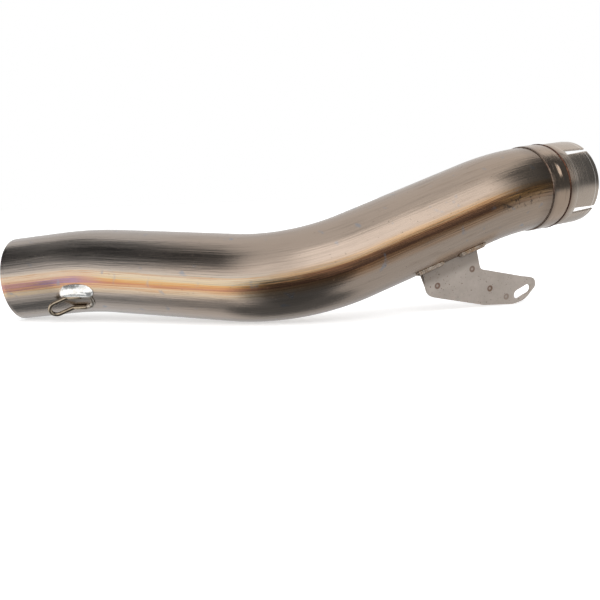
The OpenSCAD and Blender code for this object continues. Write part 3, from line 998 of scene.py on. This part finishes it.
collar.data.materials.append(collar_paint())


# %% Weld metal
def weld_paint(name, dark, light, tint, dull):
    """Lumps between a dark and a light colour, and patches with a tint."""
    paint, start = start_material(name)
    lump = noise(start, 420.0, 3.0, 0.6)
    cloud = noise(start, 110.0, 3.0, 0.6)
    colour = mix(dark, light, step_up(lump, 0.35, 0.65), start)
    colour = mix(colour, tint, step_up(cloud, 0.45, 0.65) * 0.6, start)
    finish_metal(paint, start, colour, dull + spread(lump, 0.14), lump, 0.00006)
    return paint


grey_ring = weld_paint(
    "grey_oxide_weld", (0.11, 0.08, 0.062), (0.22, 0.165, 0.13), (0.15, 0.095, 0.075), 0.4
)
brown_ring = weld_paint(
    "brown_oxide_weld", (0.065, 0.028, 0.018), (0.15, 0.07, 0.045), (0.09, 0.04, 0.03), 0.38
)
stitch_paint = weld_paint(
    "stitch_weld", (0.36, 0.27, 0.20), (0.64, 0.54, 0.45), (0.46, 0.25, 0.105), 0.36
)
inlet_ring.data.materials.append(grey_ring)
outlet_ring.data.materials.append(brown_ring)
for stitch in stitches:
    stitch.data.materials.append(stitch_paint)


# %% The hook's weld: a bright pad with a painted highlight, and a dull bead round the legs' ends
def hook_weld_paint():
    paint, start = start_material("hook_weld")
    across_legs = coordinate(stored(start, "drawn"), 1)
    lump = noise(start, 300.0, 3.0, 0.6)
    bright = mix((0.66, 0.64, 0.60), (0.88, 0.87, 0.85), step_up(lump, 0.3, 0.6), start)
    dull_metal = mix((0.28, 0.23, 0.18), (0.56, 0.51, 0.45), step_up(lump, 0.35, 0.65), start)
    # The pad is painted bright: its clean metal, and a painted highlight on its dome.
    clean_pad_and_sheen = step_up(across_legs + spread(lump, 2.0), -5.2, -7.2)
    colour = mix(dull_metal, bright, clean_pad_and_sheen, start)
    finish_metal(paint, start, colour, 0.2 + spread(lump, 0.12), lump, 0.00005, 0.78)
    return paint


hook_bead.data.materials.append(hook_weld_paint())

# %% Plate steel
NECK_START, NECK_END = 39.4, 84.7
BEND_LINE = 37.5
# Each spot weld: down the plate, along the tube, strength of its brown ring
SPOT_WELDS = [
    (38.7, NECK_START + 8.7, 1.0),
    (38.0, NECK_END - 6.7, 0.9),
    (57.6, NECK_END + 4.1, 1.0),
    (69.0, NECK_END + 16.0, 0.6),
]


def plate_paint():
    paint, start = start_material("matte_plate")
    place = stored(start, "drawn")
    down = coordinate(place, 0)
    cloud = noise(start, 55.0, 4.0, 0.6)
    fine = noise(start, 520.0, 4.0, 0.65)
    patchy = 0.5 + spread(cloud, 1.4) + spread(fine, 0.5)
    colour = mix((0.385, 0.33, 0.285), (0.57, 0.50, 0.445), patchy, start)
    # Darker towards the tube, above the bend line.
    upper = step_up(down, BEND_LINE, BEND_LINE - 6.5)
    colour = mix(colour, (0.20, 0.165, 0.135), upper * (0.35 + cloud * 0.5), start)
    flat = stretched(place, (1, 0, 1))
    rings = 0.0
    for spot_down, spot_along, strength in SPOT_WELDS:
        ends = {0: flat, 1: (spot_down, 0, spot_along)}
        gap = place.node("VectorMath", {"operation": "DISTANCE"}, ends, output="Value")
        ring, middle = band(gap, 1.3, 1.9, 0.8), step_up(gap, 1.2, 0.2)
        rings = rings + (ring + middle * 0.35) * strength
    colour = mix(colour, (0.14, 0.062, 0.03), rings * (0.6 + fine * 0.4), start)
    pits = step_up(noise(start, 780.0, 2.0, 0.5), 0.66, 0.72)
    colour = mix(colour, (0.13, 0.075, 0.045), pits * 0.7, start)
    rough = 0.52 + spread(fine, 0.14) + pits * 0.1
    finish_metal(paint, start, colour, rough, fine * 0.7 - pits, 0.00006, 0.4)
    return paint


matte_plate = plate_paint()
for plate in plates:
    plate.data.materials.append(matte_plate)


# %% Wire steel
def wire_paint():
    paint, start = start_material("drawn_wire")
    cloud = noise(start, 300.0, 3.0, 0.6)
    fine = noise(start, 1500.0, 2.0, 0.6)
    colour = mix((0.24, 0.185, 0.13), (0.44, 0.37, 0.28), cloud, start)
    dirt = step_up(noise(start, 700.0, 3.0, 0.7), 0.56, 0.7)
    colour = mix(colour, (0.13, 0.09, 0.06), dirt * 0.6, start)
    finish_metal(paint, start, colour, 0.17 + spread(fine, 0.1) + dirt * 0.15, fine, 0.00002)
    return paint


hook.data.materials.append(wire_paint())
